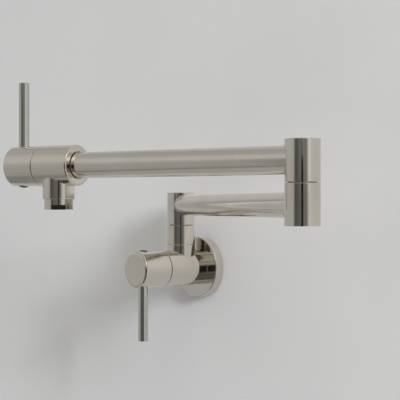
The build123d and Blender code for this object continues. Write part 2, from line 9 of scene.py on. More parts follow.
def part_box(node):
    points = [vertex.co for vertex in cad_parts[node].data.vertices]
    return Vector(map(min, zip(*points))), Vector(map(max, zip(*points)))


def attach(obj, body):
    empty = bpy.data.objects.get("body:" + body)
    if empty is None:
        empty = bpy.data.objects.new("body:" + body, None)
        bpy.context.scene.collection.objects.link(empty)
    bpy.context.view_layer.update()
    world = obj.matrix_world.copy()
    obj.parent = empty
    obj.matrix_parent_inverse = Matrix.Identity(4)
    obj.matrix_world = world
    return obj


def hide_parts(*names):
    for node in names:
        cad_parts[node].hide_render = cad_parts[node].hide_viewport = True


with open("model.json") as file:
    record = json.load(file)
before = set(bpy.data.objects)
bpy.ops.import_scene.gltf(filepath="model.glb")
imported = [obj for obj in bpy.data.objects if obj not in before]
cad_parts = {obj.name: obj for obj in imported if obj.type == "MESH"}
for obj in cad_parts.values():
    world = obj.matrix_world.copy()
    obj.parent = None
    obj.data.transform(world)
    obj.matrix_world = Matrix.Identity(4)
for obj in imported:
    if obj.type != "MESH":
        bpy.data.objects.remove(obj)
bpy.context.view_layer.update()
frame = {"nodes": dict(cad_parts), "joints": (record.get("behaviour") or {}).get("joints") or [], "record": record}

mm = 0.001
up = Vector((0, 0, 1))
record = frame["record"]
joints = {joint["name"]: joint for joint in frame["joints"]}
bodyOf = {node: body for body, nodes in record["behaviour"]["bodies"].items() for node in nodes}
slotOf = {part["node"]: part["material_slot"] for part in record["subparts"]}


# shader writing

class Signal:
    # a socket that takes part in sums
    def __init__(self, graph, socket):
        self.graph = graph
        self.socket = socket

    def __add__(self, other):
        return self.graph.math("ADD", self, other)

    def __sub__(self, other):
        return self.graph.math("SUBTRACT", self, other)

    def __rsub__(self, other):
        return self.graph.math("SUBTRACT", other, self)

    def __mul__(self, other):
        return self.graph.math("MULTIPLY", self, other)

    def __truediv__(self, other):
        return self.graph.math("DIVIDE", self, other)

    __radd__ = __add__
    __rmul__ = __mul__


class Graph:
    # makes the nodes of one material or of the world
    def __init__(self, owner):
        owner.use_nodes = True
        self.tree = owner.node_tree
        self.tree.nodes.clear()

    def add(self, kind, settings=None, values=None, output=0):
        node = self.tree.nodes.new(kind)
        for name, setting in (settings or {}).items():
            if name == "stops":
                self.fillRamp(node.color_ramp, setting)
            else:
                setattr(node, name, setting)
        for name, value in (values or {}).items():
            if isinstance(value, Signal):
                self.tree.links.new(value.socket, node.inputs[name])
            else:
                node.inputs[name].default_value = value
        return Signal(self, node.outputs[output]) if node.outputs else None

    def fillRamp(self, ramp, stops):
        while len(ramp.elements) < len(stops):
            ramp.elements.new(1)
        for element, (position, grey) in zip(ramp.elements, stops):
            element.position = position
            element.color = (grey, grey, grey, 1)

    def math(self, operation, *values):
        return self.add("ShaderNodeMath", {"operation": operation}, dict(enumerate(values)))

    def blend(self, factor, first, second):
        # mixes two colours
        return self.add(
            "ShaderNodeMix",
            {"data_type": "RGBA"},
            {0: factor, 6: first, 7: second},
            output=2,
        )

    def between(self, value, low, high, start=0.0, end=1.0):
        # eases from start to end while the value goes from low to high
        return self.add(
            "ShaderNodeMapRange",
            {"interpolation_type": "SMOOTHSTEP"},
            {0: value, 1: low, 2: high, 3: start, 4: end},
        )

    def split(self, vector):
        # the X, Y and Z of a vector
        parts = self.add("ShaderNodeSeparateXYZ", values={0: vector})
        return [Signal(self, socket) for socket in parts.socket.node.outputs]

    def grey(self, bright):
        return self.add("ShaderNodeCombineColor", values={0: bright, 1: bright, 2: bright})

    def pattern(self, scale, detail=2.0, stretch=(1, 1, 1)):
        # noise in the object's own metres, scale in features per metre
        coords = self.add("ShaderNodeTexCoord", output="Object")
        placed = self.add("ShaderNodeMapping", values={"Vector": coords, "Scale": stretch})
        return self.add(
            "ShaderNodeTexNoise", values={"Vector": placed, "Scale": scale, "Detail": detail}
        )

    def bump(self, height, distance):
        return self.add("ShaderNodeBump", values={"Height": height, "Distance": distance})

    def surface(self, **values):
        # a Principled shader, with its sockets under short names
        names = {
            "colour": "Base Color",
            "roughness": "Roughness",
            "metallic": "Metallic",
            "normal": "Normal",
        }
        sockets = {names[name]: value for name, value in values.items()}
        return self.add("ShaderNodeBsdfPrincipled", values=sockets)

    def show(self, shader):
        self.add("ShaderNodeOutputMaterial", values={"Surface": shader})


def newGraph(name):
    material = bpy.data.materials.new(name)
    return material, Graph(material)


# finishes

nickelLook = {
    "colour": (0.69, 0.655, 0.585, 1),
    "deepColour": (0.655, 0.615, 0.54, 1),
    "leverColour": (0.605, 0.615, 0.555, 1),    # the lever rods are a little cooler
    "deepLeverColour": (0.575, 0.58, 0.515, 1),
    "cloudScale": 22.0,
    "cloudRange": (0.3, 0.7),
    "roughness": 0.07,
    "haze": 0.04,           # rougher where the polish is hazy
    "hazeScale": 88.0,
    "hazeRange": (0.45, 0.7),
    "lineScale": 900.0,
    "lineDepth": 0.0008 * mm,
}


def polishedNickel(name, light, deep):
    look = nickelLook
    material, graph = newGraph(name)
    cloud = graph.between(graph.pattern(look["cloudScale"], detail=3.0), *look["cloudRange"])
    haze = graph.between(graph.pattern(look["hazeScale"]), *look["hazeRange"])
    lines = graph.pattern(look["lineScale"], detail=1.0)
    paint = graph.surface(
        colour=graph.blend(cloud, look[light], look[deep]),
        metallic=1.0,
        roughness=haze * look["haze"] + look["roughness"],
        normal=graph.bump(lines, look["lineDepth"]),
    )
    graph.show(paint)
    return material


brassLook = {
    "colour": (0.68, 0.46, 0.20, 1),
    "tarnish": (0.50, 0.31, 0.12, 1),
    "roughness": 0.24,
    "spotScale": 60.0,
    "spotRange": (0.48, 0.72),
    "spotRoughness": 0.14,
    "turningScale": 700.0,
    "turningRoughness": 0.08,
    "turningDepth": 0.012 * mm,
}


def machinedBrass():
    look = brassLook
    material, graph = newGraph("machinedBrass")
    spots = graph.between(graph.pattern(look["spotScale"], detail=4.0), *look["spotRange"])
    turning = graph.pattern(look["turningScale"], stretch=(0.2, 0.2, 3.0))
    worn = spots * look["spotRoughness"] + turning * look["turningRoughness"]
    paint = graph.surface(
        colour=graph.blend(spots, look["colour"], look["tarnish"]),
        metallic=1.0,
        roughness=worn + look["roughness"],
        normal=graph.bump(turning, look["turningDepth"]),
    )
    graph.show(paint)
    return material


steelLook = {
    "colour": (0.56, 0.56, 0.57, 1),
    "shade": (0.44, 0.44, 0.45, 1),
    "roughness": 0.26,
    "brushScale": 500.0,
    "brushRoughness": 0.18,
    "brushDepth": 0.01 * mm,
}


def springSteel():
    look = steelLook
    material, graph = newGraph("springSteel")
    brushed = graph.pattern(look["brushScale"], detail=3.0, stretch=(0.15, 0.15, 4.0))
    paint = graph.surface(
        colour=graph.blend(brushed, look["colour"], look["shade"]),
        metallic=1.0,
        roughness=brushed * look["brushRoughness"] + look["roughness"],
        normal=graph.bump(brushed, look["brushDepth"]),
    )
    graph.show(paint)
    return material


rubberLook = {
    "colour": (0.018, 0.018, 0.018, 1),
    "bloom": (0.05, 0.05, 0.049, 1),
    "roughness": 0.52,
    "bloomScale": 90.0,
    "bloomRange": (0.5, 0.75),
    "bloomRoughness": 0.2,
    "grainScale": 1500.0,
    "grainDepth": 0.02 * mm,
}


def sealRubber():
    look = rubberLook
    material, graph = newGraph("sealRubber")
    bloom = graph.between(graph.pattern(look["bloomScale"], detail=4.0), *look["bloomRange"])
    grain = graph.pattern(look["grainScale"])
    paint = graph.surface(
        colour=graph.blend(bloom, look["colour"], look["bloom"]),
        roughness=bloom * look["bloomRoughness"] + look["roughness"],
        normal=graph.bump(grain, look["grainDepth"]),
    )
    graph.show(paint)
    return material


ceramicLook = {
    "colour": (0.82, 0.81, 0.78, 1),
    "speck": (0.66, 0.64, 0.60, 1),
    "roughness": 0.14,
    "speckScale": 1800.0,
    "speckRange": (0.6, 0.75),
    "speckRoughness": 0.2,
}


def lappedCeramic():
    look = ceramicLook
    material, graph = newGraph("lappedCeramic")
    speck = graph.between(graph.pattern(look["speckScale"]), *look["speckRange"])
    paint = graph.surface(
        colour=graph.blend(speck, look["colour"], look["speck"]),
        roughness=speck * look["speckRoughness"] + look["roughness"],
    )
    graph.show(paint)
    return material


acetalLook = {
    "colour": (0.74, 0.74, 0.71, 1),
    "shade": (0.62, 0.62, 0.58, 1),
    "roughness": 0.38,
    "cloudScale": 140.0,
    "cloudRoughness": 0.15,
    "grainScale": 2200.0,
    "grainDepth": 0.008 * mm,
}


def whiteAcetal():
    look = acetalLook
    material, graph = newGraph("whiteAcetal")
    cloud = graph.pattern(look["cloudScale"], detail=3.0)
    grain = graph.pattern(look["grainScale"])
    paint = graph.surface(
        colour=graph.blend(cloud, look["colour"], look["shade"]),
        roughness=cloud * look["cloudRoughness"] + look["roughness"],
        normal=graph.bump(grain, look["grainDepth"]),
    )
    graph.show(paint)
    return material


plasticLook = {
    "colour": (0.022, 0.021, 0.020, 1),
    "worn": (0.055, 0.054, 0.052, 1),
    "roughness": 0.30,
    "wornScale": 260.0,
    "wornRange": (0.5, 0.8),
    "wornRoughness": 0.2,
    "grainScale": 2600.0,
    "grainDepth": 0.006 * mm,
}


def darkPlastic():
    look = plasticLook
    material, graph = newGraph("darkPlastic")
    worn = graph.between(graph.pattern(look["wornScale"], detail=4.0), *look["wornRange"])
    grain = graph.pattern(look["grainScale"])
    paint = graph.surface(
        colour=graph.blend(worn, look["colour"], look["worn"]),
        roughness=worn * look["wornRoughness"] + look["roughness"],
        normal=graph.bump(grain, look["grainDepth"]),
    )
    graph.show(paint)
    return material


finishes = {
    "polished_nickel": polishedNickel("polishedNickel", "colour", "deepColour"),
    "brass": machinedBrass(),
    "stainless_steel": springSteel(),
    "seal_rubber": sealRubber(),
    "ceramic": lappedCeramic(),
    "white_acetal": whiteAcetal(),
    "dark_plastic": darkPlastic(),
}
finishOf = {node: finishes[slot] for node, slot in slotOf.items()}
leverNickel = polishedNickel("leverNickel", "leverColour", "deepLeverColour")
finishOf["wall_lever_rod"] = leverNickel
finishOf["spout_lever_rod"] = leverNickel
print("finishes made:", len(finishes) + 1)

for node, cadPiece in frame["nodes"].items():
    cadPiece.data.materials.clear()
    cadPiece.data.materials.append(finishOf[node])


# places: each has its own Z along the axis that its pieces are turned on

def placeAt(origin, along, across):
    zAxis = Vector(along).normalized()
    xAxis = Vector(across).normalized()
    turn = Matrix((xAxis, zAxis.cross(xAxis), zAxis)).transposed()
    return Matrix.Translation(origin) @ turn.to_4x4()


def middleOf(node):
    low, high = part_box(node)
    return (low + high) / 2


columnSpot = Vector(joints["arm_1_swivel"]["pos_m"])
elbowSpot = Vector(joints["arm_2_swivel"]["pos_m"])
spoutSpot = Vector(joints["spout_handle_turn"]["pos_m"])
spoutWay = Vector(joints["spout_handle_turn"]["axis"])
wallWay = Vector(joints["wall_handle_turn"]["axis"])
outletSpot = middleOf("aerator_housing")

columnFoot = Vector((columnSpot.x, columnSpot.y, 0))
elbowFoot = Vector((elbowSpot.x, elbowSpot.y, 0))
outletFoot = Vector((outletSpot.x, outletSpot.y, 0))
firstWay = (elbowFoot - columnFoot).normalized()

wallPlace = placeAt((0, 0, 0), wallWay, (1, 0, 0))
columnPlace = placeAt(columnFoot, up, firstWay)
elbowPlace = placeAt(elbowFoot, up, spoutWay)
outletPlace = placeAt(outletFoot, up, spoutWay)
firstArmPlace = placeAt(columnSpot, firstWay, up)
secondArmPlace = placeAt(elbowFoot + up * spoutSpot.z, spoutWay, up)
spoutPlace = placeAt(outletFoot + up * spoutSpot.z, spoutWay, up)


def spanOf(node, place):
    # lowest and highest corner of a CAD node along a place's own axes
    home = place.inverted()
    spots = [home @ vertex.co for vertex in frame["nodes"][node].data.vertices]
    low = Vector([min(spot[axis] for spot in spots) for axis in range(3)])
    high = Vector([max(spot[axis] for spot in spots) for axis in range(3)])
    return low, high


# shells and pieces

shellLook = {
    "steps": 144,
    "arcSteps": 8,
    "merge": 0.002 * mm,
    "sharp": 32.0,          # degrees between faces, past which an edge stays crisp
}


def meshFrom(name, shape):
    mesh = bpy.data.meshes.new(name)
    shape.to_mesh(mesh)
    shape.free()
    return mesh


def addObject(name, data):
    thing = bpy.data.objects.new(name, data)
    bpy.context.scene.collection.objects.link(thing)
    return thing


def edgesAt(vertices):
    return list(dict.fromkeys(edge for vertex in vertices for edge in vertex.link_edges))


def edgesIn(geometry):
    return [part for part in geometry if isinstance(part, bmesh.types.BMEdge)]


def turnedShell(outline, place, steps=shellLook["steps"]):
    # spins corners of (radius, height, rounding) round the place's Z axis
    shell = bmesh.new()
    corners = [shell.verts.new((radius, 0, height)) for radius, height, *_ in outline]
    for start, end in zip(corners, corners[1:]):
        shell.edges.new((start, end))
    if outline[0][0] > 0:
        shell.edges.new((corners[-1], corners[0]))
    for corner, (_, _, *rounding) in zip(corners, outline):
        if rounding:
            bmesh.ops.bevel(
                shell, geom=[corner], offset=rounding[0], offset_type="OFFSET", affect="VERTICES",
                segments=shellLook["arcSteps"], profile=0.5, material=-1,
            )
    bmesh.ops.spin(
        shell, geom=shell.verts[:] + shell.edges[:], cent=(0, 0, 0), axis=(0, 0, 1),
        angle=math.tau, steps=steps, use_merge=True,
    )
    bmesh.ops.remove_doubles(shell, verts=shell.verts[:], dist=shellLook["merge"])
    bmesh.ops.recalc_face_normals(shell, faces=shell.faces[:])
    bmesh.ops.transform(shell, matrix=place, verts=shell.verts[:])
    return shell


def makePiece(name, node, shells):
    # joins shells into one piece that stands for a CAD node
    whole = bmesh.new()
    for shell in shells:
        loose = meshFrom("loose", shell)
        whole.from_mesh(loose)
        bpy.data.meshes.remove(loose)
    sharp = math.radians(shellLook["sharp"])
    for face in whole.faces:
        face.smooth = True
    for edge in whole.edges:
        edge.smooth = edge.is_manifold and edge.calc_face_angle() < sharp
    piece = addObject(name, meshFrom(name, whole))
    piece.data.materials.append(finishOf[node])
    shading = piece.modifiers.new("evenShading", "WEIGHTED_NORMAL")
    shading.keep_sharp = True
    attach(piece, bodyOf[node])
    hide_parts(node)


seamRound = 0.5 * mm
edgeRound = 0.5 * mm

# wall flange and wall valve

flangeSizes = {
    "edgeRound": 1.4 * mm,
    "rim": 4.2 * mm,
    "face": 4.6 * mm,
    "bore": 13.3 * mm,
    "boreRound": 0.4 * mm,
}


def flangeShell():
    radius, _, front = spanOf("wall_flange", wallPlace)[1]
    sizes = flangeSizes
    hollow = radius - sizes["rim"]
    return turnedShell(
        [
            (sizes["bore"], front, sizes["boreRound"]),
            (radius, front, sizes["edgeRound"]),
            (radius, 0),
            (hollow, 0),
            (hollow, front - sizes["face"]),
            (sizes["bore"], front - sizes["face"]),
        ],
        wallPlace,
    )


cartridgeSizes = {
    "collarBore": 13.4 * mm,
    "collarDepth": 4.25 * mm,
    "threadBore": 10.3 * mm,
    "threadDepth": 13.75 * mm,
    "chamber": 12.0 * mm,
    "chamberDepth": 24.75 * mm,
    "nose": 9.45 * mm,
    "noseDepth": 28.25 * mm,
    "port": 6.0 * mm,
}


def cartridgeOutline(seam):
    # the bore of a valve body, from its seam down to the port
    sizes = cartridgeSizes
    return [
        (sizes["collarBore"], seam),
        (sizes["collarBore"], seam - sizes["collarDepth"]),
        (sizes["threadBore"], seam - sizes["collarDepth"]),
        (sizes["threadBore"], seam - sizes["threadDepth"]),
        (sizes["chamber"], seam - sizes["threadDepth"]),
        (sizes["chamber"], seam - sizes["chamberDepth"]),
        (sizes["nose"], seam - sizes["chamberDepth"]),
        (sizes["nose"], seam - sizes["noseDepth"]),
        (sizes["port"], seam - sizes["noseDepth"]),
    ]


inletSizes = {
    "shank": 13.0 * mm,
    "shankRound": 0.3 * mm,
    "depth": 15.0 * mm,
    "root": 10.45 * mm,
    "crest": 9.31 * mm,
    "pitch": 1.814 * mm,
    "ridgeFoot": 0.46,      # half the ridge's width, as a share of the pitch
    "ridgeCrest": 0.08,
    "ridgeSunk": 0.2 * mm,  # how far its foot goes into the bore's side
    "turns": 7,
    "stepsPerTurn": 48,
    "leadIn": 0.8 * mm,
    "leadInWidth": 0.4 * mm,
}


def inletThread():
    # one ridge that winds up the inlet's bore
    sizes = inletSizes
    foot = sizes["pitch"] * sizes["ridgeFoot"]
    crest = sizes["pitch"] * sizes["ridgeCrest"]
    middle = sizes["leadIn"] + foot
    sunk = sizes["root"] + sizes["ridgeSunk"]
    thread = bmesh.new()
    corners = [
        thread.verts.new((radius, 0, height))
        for radius, height in (
            (sunk, middle - foot),
            (sizes["crest"], middle - crest),
            (sizes["crest"], middle + crest),
            (sunk, middle + foot),
        )
    ]
    section = thread.faces.new(corners)
    bmesh.ops.spin(
        thread, geom=[section], cent=(0, 0, 0), axis=(0, 0, 1),
        dvec=(0, 0, sizes["pitch"] / sizes["stepsPerTurn"]),
        angle=math.tau * sizes["turns"], steps=sizes["turns"] * sizes["stepsPerTurn"],
    )
    bmesh.ops.recalc_face_normals(thread, faces=thread.faces[:])
    bmesh.ops.transform(thread, matrix=wallPlace, verts=thread.verts[:])
    return thread


stubSizes = {"bore": 7.55 * mm, "sideDepth": 13.1 * mm, "middleDepth": 11.6 * mm}


def wallBodyShells():
    unionLow, unionHigh = spanOf("column_union", columnPlace)
    radius = spanOf("wall_handle_cap", wallPlace)[1].x
    front = spanOf("wall_flange", wallPlace)[1].z
    seam = spanOf("wall_valve_body", wallPlace)[1].z
    inlet = inletSizes
    barrel = turnedShell(
        cartridgeOutline(seam) + [
            (cartridgeSizes["port"], inlet["depth"]),
            (inlet["root"], inlet["depth"]),
            (inlet["root"], inlet["leadIn"]),
            (inlet["root"] + inlet["leadInWidth"], 0),
            (inlet["shank"], 0, inlet["shankRound"]),
            (inlet["shank"], front),
            (radius, front, seamRound),
            (radius, seam, seamRound),
        ],
        wallPlace,
    )
    stubRadius = unionHigh.x
    stubTop = unionLow.z
    stub = turnedShell(
        [
            (stubSizes["bore"], stubTop),
            (stubRadius, stubTop, seamRound),
            (stubRadius, stubTop - stubSizes["sideDepth"]),
            (stubSizes["bore"], stubTop - stubSizes["middleDepth"]),
        ],
        columnPlace,
    )
    return [barrel, stub, inletThread()]


makePiece("flangeDisc", "wall_flange", [flangeShell()])
makePiece("wallValveBody", "wall_valve_body", wallBodyShells())
print("wall valve made")

# column and elbow

swivelSizes = {
    "bore": 9.0 * mm,
    "roof": 3.5 * mm,
    "washer": 11.42 * mm,
    "washerSeat": 1.2 * mm,
    "neck": 8.05 * mm,
    "lip": 3.5 * mm,
    "land": 10.15 * mm,
    "spigot": 7.55 * mm,
    "plugBore": 10.52 * mm,
    "plugBoreRound": 0.15 * mm,
    "plugDepth": 4.5 * mm,
}


def unionShell():
    low, high = spanOf("column_union", columnPlace)
    sizes = swivelSizes
    top = high.z
    return turnedShell(
        [
            (high.x, low.z, seamRound),
            (high.x, top, seamRound),
            (sizes["washer"], top),
            (sizes["washer"], top - sizes["washerSeat"]),
            (sizes["neck"], top - sizes["washerSeat"]),
            (sizes["neck"], top - sizes["lip"]),
            (sizes["washer"], top - sizes["lip"]),
            (sizes["washer"], low.z),
        ],
        columnPlace,
    )


def roofedBarrel(node, place):
    # barrel closed at its top, with the bore for its spigot below
    low, high = spanOf(node, place)
    radius = -low.x
    sizes = swivelSizes
    return turnedShell(
        [
            (0, high.z),
            (radius, high.z, edgeRound),
            (radius, low.z, seamRound),
            (sizes["bore"], low.z),
            (sizes["bore"], high.z - sizes["roof"]),
            (0, high.z - sizes["roof"]),
        ],
        place,
    )


def lowerElbowShell():
    low, high = spanOf("elbow_lower_barrel", elbowPlace)
    sizes = swivelSizes
    radius = high.x
    top = high.z
    return turnedShell(
        [
            (sizes["plugBore"], low.z, sizes["plugBoreRound"]),
            (radius, low.z, edgeRound),
            (radius, top, seamRound),
            (sizes["washer"], top),
            (sizes["washer"], top - sizes["washerSeat"]),
            (sizes["spigot"], top - sizes["washerSeat"]),
            (sizes["spigot"], top - sizes["land"]),
            (sizes["bore"], top - sizes["land"]),
            (sizes["bore"], low.z + sizes["plugDepth"]),
            (sizes["plugBore"], low.z + sizes["plugDepth"]),
        ],
        elbowPlace,
    )


plugSizes = {
    "round": 0.2 * mm,
    "keySides": 6,
    "stepsPerSide": 24,
    "keyAcross": 8.0 * mm,
    "keyDepth": 3.0 * mm,
    "leadIn": 0.35 * mm,
}


def elbowPlugShell():
    # disc with a hexagon socket, made from its rim inwards
    low, high = spanOf("elbow_bottom_plug", elbowPlace)
    sizes = plugSizes
    sides = sizes["keySides"]
    radius = high.x
    corner = sizes["keyAcross"] / 2 / math.cos(math.pi / sides)
    plug = bmesh.new()

    def ring(across, height, steps=sides * sizes["stepsPerSide"]):
        level = Matrix.Translation((0, 0, height))
        made = bmesh.ops.create_circle(plug, segments=steps, radius=across, matrix=level)
        return edgesAt(made["verts"])

    def hexagon(across, height):
        cut = bmesh.ops.subdivide_edges(
            plug, edges=ring(across, height, sides), cuts=sizes["stepsPerSide"] - 1
        )
        return list(dict.fromkeys(edgesIn(cut["geom_inner"]) + edgesIn(cut["geom_split"])))

    loops = [
        ring(radius, high.z),
        ring(radius, low.z + sizes["round"]),
        ring(radius - sizes["round"], low.z),
        ring(corner + sizes["leadIn"], low.z),
        hexagon(corner, low.z + sizes["leadIn"]),
        hexagon(corner, low.z + sizes["keyDepth"]),
    ]
    for outer, inner in zip(loops, loops[1:]):
        bmesh.ops.bridge_loops(plug, edges=outer + inner)
    bmesh.ops.holes_fill(plug, edges=loops[0] + loops[-1], sides=0)
    bmesh.ops.remove_doubles(plug, verts=plug.verts[:], dist=shellLook["merge"])
    bmesh.ops.recalc_face_normals(plug, faces=plug.faces[:])
    bmesh.ops.transform(plug, matrix=elbowPlace, verts=plug.verts[:])
    return plug


makePiece("columnUnion", "column_union", [unionShell()])
makePiece("columnBarrel", "column_barrel", [roofedBarrel("column_barrel", columnPlace)])
makePiece("elbowLower", "elbow_lower_barrel", [lowerElbowShell()])
makePiece("elbowUpper", "elbow_upper_barrel", [roofedBarrel("elbow_upper_barrel", elbowPlace)])
makePiece("elbowPlug", "elbow_bottom_plug", [elbowPlugShell()])
print("column and elbow made")

# arms

armSizes = {"wall": 1.5 * mm, "firstRoot": 9.3 * mm, "secondRoot": 8.4 * mm, "steps": 128}


def armShell(node, place, root, end):
    radius = spanOf(node, place)[1].y
    inside = radius - armSizes["wall"]
    return turnedShell(
        [(inside, root), (radius, root), (radius, end), (inside, end)], place, armSizes["steps"]
    )


firstRoot = armSizes["firstRoot"]
firstEnd = (elbowFoot - columnFoot).length - firstRoot
secondEnd = spanOf("arm_2_tube", secondArmPlace)[1].z
makePiece("firstArm", "arm_1_tube", [armShell("arm_1_tube", firstArmPlace, firstRoot, firstEnd)])
makePiece(
    "secondArm", "arm_2_tube",
    [armShell("arm_2_tube", secondArmPlace, armSizes["secondRoot"], secondEnd)],
)
print("arms made")

# spout valve and aerator

spoutSizes = {
    "faceRound": 1.8 * mm,
    "gland": 12.05 * mm,
    "glandDepth": 2.5 * mm,
    "socket": 11.47 * mm,
    "neck": 14.4 * mm,
    "outletRound": 0.8 * mm,
    "outletThread": 11.02 * mm,
    "outletDepth": 8.9 * mm,
    "neckTop": 11.1 * mm,
}


def spoutBodyShells():
    low, high = spanOf("spout_valve_body", spoutPlace)
    bottom = spanOf("spout_valve_body", outletPlace)[0].z
    sizes = spoutSizes
    radius = spanOf("spout_handle_cap", spoutPlace)[1].y
    port = cartridgeSizes["port"]
    floor = low.z + sizes["glandDepth"]
    armEnd = secondEnd - (outletFoot - elbowFoot).length
    barrel = turnedShell(
        cartridgeOutline(high.z) + [
            (port, armEnd),
            (sizes["socket"], armEnd),
            (sizes["socket"], floor),
            (sizes["gland"], floor),
            (sizes["gland"], low.z, seamRound),
            (radius, low.z, sizes["faceRound"]),
            (radius, high.z, seamRound),
        ],
        spoutPlace,
    )
    top = spoutSpot.z - sizes["neckTop"]
    neck = turnedShell(
        [
            (sizes["outletThread"], bottom),
            (sizes["neck"], bottom, sizes["outletRound"]),
            (sizes["neck"], top),
            (port, top),
            (port, bottom + sizes["outletDepth"]),
            (sizes["outletThread"], bottom + sizes["outletDepth"]),
        ],
        outletPlace,
    )
    return [barrel, neck]


aeratorSizes = {
    "edgeRound": 0.4 * mm,
    "collarRound": 0.15 * mm,
    "mouth": 8.5 * mm,
    "mouthRound": 0.3 * mm,
    "mouthDepth": 1.3 * mm,
    "bore": 9.4 * mm,
    "thread": 11.0 * mm,
    "length": 9.4 * mm,
    "keyAcross": 22.6 * mm,
    "keyLength": 4.3 * mm,
    "keyAngle": -35.0,      # way that a wrench flat faces, from +X seen from above
}


def aeratorShells():
    low, high = spanOf("aerator_housing", outletPlace)
    sizes = aeratorSizes
    radius = max(-low.x, high.x, -low.y, high.y)
    keyTop = low.z + sizes["keyLength"]
    step = low.z + sizes["length"]
    flats = turnedShell(
        [
            (sizes["mouth"], low.z, sizes["mouthRound"]),
            (radius, low.z, sizes["edgeRound"]),
            (radius, keyTop),
            (sizes["bore"], keyTop),
            (sizes["bore"], low.z + sizes["mouthDepth"]),
            (sizes["mouth"], low.z + sizes["mouthDepth"]),
        ],
        outletPlace,
    )
    face = Vector((1, 0, 0))
    face.rotate(Matrix.Rotation(math.radians(sizes["keyAngle"]), 3, "Z"))
    for way in (face, -face):
        cut = bmesh.ops.bisect_plane(
            flats, geom=flats.verts[:] + flats.edges[:] + flats.faces[:],
            plane_co=outletFoot + way * sizes["keyAcross"] / 2, plane_no=way, clear_outer=True,
        )["geom_cut"]
        bmesh.ops.holes_fill(flats, edges=edgesIn(cut), sides=0)
    collar = turnedShell(
        [
            (sizes["bore"], keyTop),
            (radius, keyTop, sizes["collarRound"]),
            (radius, step, sizes["collarRound"]),
            (sizes["thread"], step),
            (sizes["thread"], high.z),
            (sizes["bore"], high.z),
        ],
        outletPlace,
    )
    return [flats, collar]


makePiece("spoutValveBody", "spout_valve_body", spoutBodyShells())
makePiece("aeratorShell", "aerator_housing", aeratorShells())
print("spout valve made")

# handles, the same on both valves

handleSizes = {
    "endRound": 3.0 * mm,
    "bore": 14.05 * mm,
    "cavity": 14.25 * mm,
    "spline": 4.02 * mm,
    "splineEnd": 28.75 * mm,
    "leverRound": 0.5 * mm,
    "smallSteps": 96,       # round the lever and the screw plug
    "domeSteps": 6,
}


def capShell(node, place):
    low, high = spanOf(node, place)
    sizes = handleSizes
    radius = min(high.x, high.y, -low.x, -low.y)
    return turnedShell(
        [
            (0, high.z),
            (radius, high.z, sizes["endRound"]),
            (radius, low.z, seamRound),
            (sizes["bore"], low.z),
            (sizes["bore"], low.z + sizes["cavity"]),
            (sizes["spline"], low.z + sizes["cavity"]),
            (sizes["spline"], low.z + sizes["splineEnd"]),
            (0, low.z + sizes["splineEnd"]),
        ],
        place,
    )


def leverShell(node, place):
    low, high = spanOf(node, place)
    return turnedShell(
        [(0, high.z), (high.x, high.z, handleSizes["leverRound"]), (high.x, low.z), (0, low.z)],
        place,
        handleSizes["smallSteps"],
    )


def screwPlugShell(node, place, capRadius):
    # low dome that meets the cap's round side at its rim
    low, high = spanOf(node, place)
    radius = high.x
    shoulder = math.sqrt(capRadius**2 - radius**2)
    rise = high.z - shoulder
    sphere = (radius**2 + rise**2) / (2 * rise)
    steps = handleSizes["domeSteps"]
    arc = [radius * step / steps for step in range(steps)]
    dome = [(spot, high.z - sphere + math.sqrt(sphere**2 - spot**2)) for spot in arc]
    side = [(radius, shoulder), (radius, low.z), (0, low.z)]
    return turnedShell(dome + side, place, handleSizes["smallSteps"])


def makeHandle(valve, place, leverWay):
    # the lever and the screw plug stand opposite each other on the cap
    cap, lever, plug = [f"{valve}_{part}" for part in ("handle_cap", "lever_rod", "screw_plug")]
    along = place.col[2].to_3d()
    foot = place @ Vector((0, 0, (place.inverted() @ middleOf(lever)).z))
    low, high = spanOf(cap, place)
    capRadius = max(high.x, high.y, -low.x, -low.y)
    makePiece(f"{valve}HandleCap", cap, [capShell(cap, place)])
    makePiece(f"{valve}Lever", lever, [leverShell(lever, placeAt(foot, leverWay, along))])
    makePiece(
        f"{valve}ScrewPlug", plug,
        [screwPlugShell(plug, placeAt(foot, -leverWay, along), capRadius)],
    )


makeHandle("wall", wallPlace, -up)
makeHandle("spout", spoutPlace, up)
print("handles made")

# room

# Brightness of the room round the object, by the way that one looks: degrees from +X,
# seen from above, where the room lies between -180 and 0.
roomLook = {
    "level": (
        (-180, 0.48), (-122, 0.48), (-104, 0.43), (-95, 0.11), (-84, 0.10), (-71, 0.13),
        (-63, 0.15), (-56, 0.13), (-42, 0.16), (-34, 0.21), (-28, 0.18), (-21, 0.17),
        (-15, 0.36), (-9, 0.57), (-2, 0.64),
    ),
    "raised": (
        (-180, 0.51), (-122, 0.50), (-104, 0.45), (-97, 0.22), (-92, 0.10), (-84, 0.10),
        (-71, 0.13), (-64, 0.19), (-52, 0.16), (-46, 0.19), (-40, 0.24), (-34, 0.22),
        (-28, 0.18), (-21, 0.23), (-15, 0.48), (-9, 0.67), (-2, 0.80), (10, 0.84),
    ),
    "raisedFrom": 0.0,      # height of the way, where 1 is straight up
    "raisedTo": 0.03,
    "upper": 0.60,
    "upperFrom": 0.05,
    "upperTo": 0.36,
    "ceiling": 0.46,
    "ceilingFrom": 0.52,
    "ceilingTo": 0.82,
    "below": 0.06,          # share that is lost under the horizon
    "belowFrom": -0.03,
    "belowTo": -0.22,
    "glow": 0.9,            # added where the high window is
    "glowAt": (0.771, -0.164, 0.616),
    "glowFrom": 18.0,       # half its width, in degrees
    "glowTo": 12.0,
    "seen": (0.80, 0.80, 0.80, 1),  # the plain backdrop that the camera sees instead
}


def roundRoom(graph, along, across, name):
    # brightness by the way round, from parts along X and Y
    turn = graph.math("ARCTAN2", across, along) / math.tau + 0.5
    stops = [((degrees + 180) / 360, bright) for degrees, bright in roomLook[name]]
    return graph.add("ShaderNodeValToRGB", {"stops": stops}, {0: turn})


